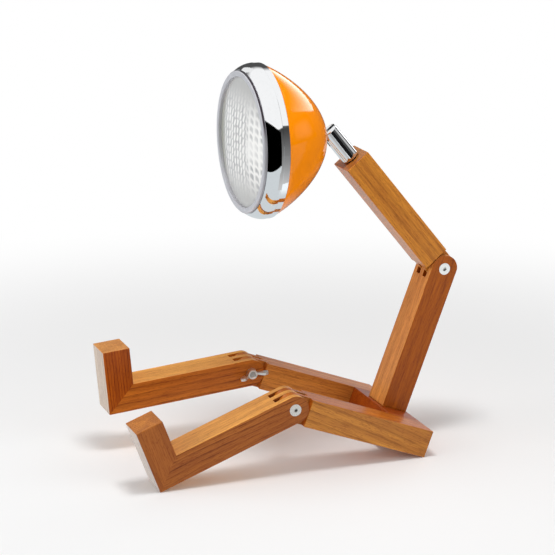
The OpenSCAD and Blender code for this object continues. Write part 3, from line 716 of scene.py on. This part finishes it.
def add_floor():
    """Pale floor that fades into white, and that mirror surfaces see in a pale and a dim part."""
    bpy.ops.mesh.primitive_plane_add(size=FLOOR_SIZE)
    floor = bpy.context.object
    floor.name = "floor"
    g = Graph("floor")
    g.set(Base_Color=FLOOR_GREY, Roughness=0.9, Specular_IOR_Level=0.0)
    place = g.place()
    away = g.add("ShaderNodeVectorMath", {0: place}, operation="LENGTH").outputs["Value"]
    rays = g.add("ShaderNodeLightPath").outputs
    white = g.times(g.level(away, *FLOOR_WHITENS), rays["Is Camera Ray"])
    glow = g.add("ShaderNodeEmission", {"Color": WHITE, "Strength": 1.0})
    plain = g.either(white, g.shader, glow)
    x, y, _ = g.parts(place)
    behind = g.minus(y, g.math("MAXIMUM", x, 0.0))
    patch = g.times(g.level(x, *PATCH_X), g.level(y, *PATCH_Y))
    bright = g.plus(g.level(behind, *FLOOR_DIMS), g.times(patch, PATCH_GLOW))
    mirrored = g.add("ShaderNodeEmission", {"Color": MIRRORED_FLOOR, "Strength": bright})
    g.output("Material", g.either(rays["Is Glossy Ray"], plain, mirrored))
    floor.data.materials.append(g.owner)


# Surround, in degrees: elevation from the floor, azimuth from the figure's front towards its left.
# The softbox behind the figure: how its end slants, where its edges are, and its strength
SOFTBOX_SLANT = 2.25
SOFTBOX_SLANTED_END = (-129, -126)
SOFTBOX_END = (-117, -124)
SOFTBOX_FOOT = (7, 8.5)
SOFTBOX_TOP = (29, 9)
SOFTBOX_STRENGTH = 3.6
# The pale strip on the figure's right, which only mirror surfaces see: its edges and its grey
STRIP_START = (-91, -89)
STRIP_END = (-70, -74)
STRIP_FOOT = (16, 18)
STRIP_GREY = 0.9
# The ceiling that mirror surfaces see, in parts of a unit vector: its edge's height and lean
CEILING_LOW = 0.50
CEILING_HIGH = 0.53
CEILING_LEAN_X = 0.077
CEILING_LEAN_Y = 0.092
CEILING_BLUR = 0.12
WALL_GREY = 0.08
# The even grey room that the other surfaces see
ROOM_GREY = 0.42

# Lamps: name, place, the point that it faces, width, height and power in watts
LAMPS = (
    ("overhead_softbox", (0.15, -0.25, 1.2), (0.15, -0.25, 0.0), 3.0, 2.5, 2),
    ("key_lamp", (0.15, -0.05, 1.15), (0.0, 0.0, 0.0), 0.30, 0.30, 5.2),
    ("front_fill", (-0.2, -1.6, 0.5), (0.0, 0.0, 0.2), 1.2, 0.8, 11),
    ("side_fill", (1.2, 0.9, 0.6), (0.0, 0.0, 0.2), 1.2, 0.8, 6),
)
# Cards: name, place, the point that it faces, width, height, grey at its foot and top, soft edges or not
CARDS = (
    ("black_card", (0.42, -0.36, 0.3025), (0.0, 0.0, 0.3025), 0.95, 0.605, 0.0, 0.0, False),
    ("grey_card", (0.20, 0.015, 0.205), (0.0, 0.015, 0.205), 0.09, 0.41, 0.60, 0.05, False),
    ("side_card", (0.30, 0.18, 0.285), (0.0, 0.18, 0.285), 0.20, 0.27, 0.01, 0.01, False),
    ("pale_card", (0.07, 0.30, 0.375), (0.008, 0.06, 0.313), 0.22, 0.13, 0.6, 0.6, True),
)
# Shares of a card's size: where its grey changes up it, and where a soft edge fades from its middle
CARD_FADE = (-0.38, 0.57)
CARD_SOFT_EDGE = (0.10, 0.5, 1.0, 0.0)


def add_lamp(name, place, target, width, height, power):
    """Soft rectangular lamp that mirror surfaces don't show."""
    data = bpy.data.lights.new(name, "AREA")
    data.shape = "RECTANGLE"
    data.size = width
    data.size_y = height
    data.energy = power
    lamp = bpy.data.objects.new(name, data)
    lamp.visible_glossy = False
    bpy.context.collection.objects.link(lamp)
    aim(lamp, Vector(place), Vector(target))


def add_card(name, place, target, width, height, low_grey, high_grey, soft):
    """Card that only mirror surfaces show, as a studio uses: its grey changes from foot to top."""
    bpy.ops.mesh.primitive_plane_add(size=1)
    card = bpy.context.object
    card.name = name
    card.scale = (width, height, 1)
    aim(card, Vector(place), Vector(target))
    g = Graph(name)
    x, y, _ = g.parts(g.place())
    grey = g.level(y, *CARD_FADE, low_grey, high_grey)
    if soft:
        for part in (x, y):
            grey = g.times(grey, g.level(g.absolute(part), *CARD_SOFT_EDGE))
    g.output("Material", g.add("ShaderNodeEmission", {"Color": WHITE, "Strength": grey}))
    card.data.materials.append(g.owner)
    for ray in ("camera", "diffuse", "transmission", "volume_scatter", "shadow"):
        setattr(card, "visible_" + ray, False)


def softbox(g, azimuth, elevation):
    """Light of the softbox behind the figure, which has a slanting end and is strongest at its foot."""
    slant = g.plus(azimuth, g.times(elevation, SOFTBOX_SLANT))
    wide = g.times(g.level(slant, *SOFTBOX_SLANTED_END), g.level(azimuth, *SOFTBOX_END))
    tall = g.times(g.level(elevation, *SOFTBOX_FOOT), g.level(elevation, *SOFTBOX_TOP))
    return g.times(g.times(wide, tall), SOFTBOX_STRENGTH)


def mirrored_room(g, way, azimuth, elevation):
    """What mirror surfaces see: a bright ceiling, lower to the front, over dim walls with a pale strip."""
    x, y, z = way
    lean = g.minus(g.times(x, CEILING_LEAN_X), g.times(y, CEILING_LEAN_Y))
    blur = g.times(g.math("MINIMUM", x, 0.0), CEILING_BLUR)
    edge = g.plus(CEILING_LOW, blur), g.minus(CEILING_HIGH, blur)
    ceiling = g.level(g.plus(z, lean), *edge, WALL_GREY, 1.0)
    strip = g.times(g.level(azimuth, *STRIP_START), g.level(azimuth, *STRIP_END))
    strip = g.times(strip, g.times(g.level(elevation, *STRIP_FOOT), STRIP_GREY))
    return g.math("MAXIMUM", ceiling, strip)


def light_scene():
    """Surround that the camera sees white, with the lamps and the cards."""
    world = bpy.data.worlds.new("world")
    bpy.context.scene.world = world
    g = Graph("world", world)
    way = g.parts(g.add("ShaderNodeTexCoord").outputs["Generated"])
    elevation = g.times(g.math("ARCSINE", way[2]), DEGREES_PER_RADIAN)
    azimuth = g.times(g.math("ARCTAN2", way[0], g.times(way[1], -1.0)), DEGREES_PER_RADIAN)
    rays = g.add("ShaderNodeLightPath").outputs
    room = g.between(rays["Is Glossy Ray"], ROOM_GREY, mirrored_room(g, way, azimuth, elevation))
    back = g.tree.nodes["Background"]
    g.put(back.inputs["Color"], WHITE)
    g.put(back.inputs["Strength"], g.plus(softbox(g, azimuth, elevation), room))
    seen = g.add("ShaderNodeBackground", {"Color": WHITE, "Strength": 1.0})
    g.output("World", g.either(rays["Is Camera Ray"], back, seen))
    for lamp in LAMPS:
        add_lamp(*lamp)
    for card in CARDS:
        add_card(*card)


add_camera()
add_floor()
light_scene()
finishes = paint_nodes()
add_lens(finishes["lens_glass"])
bpy.context.scene.view_settings.view_transform = "Standard"
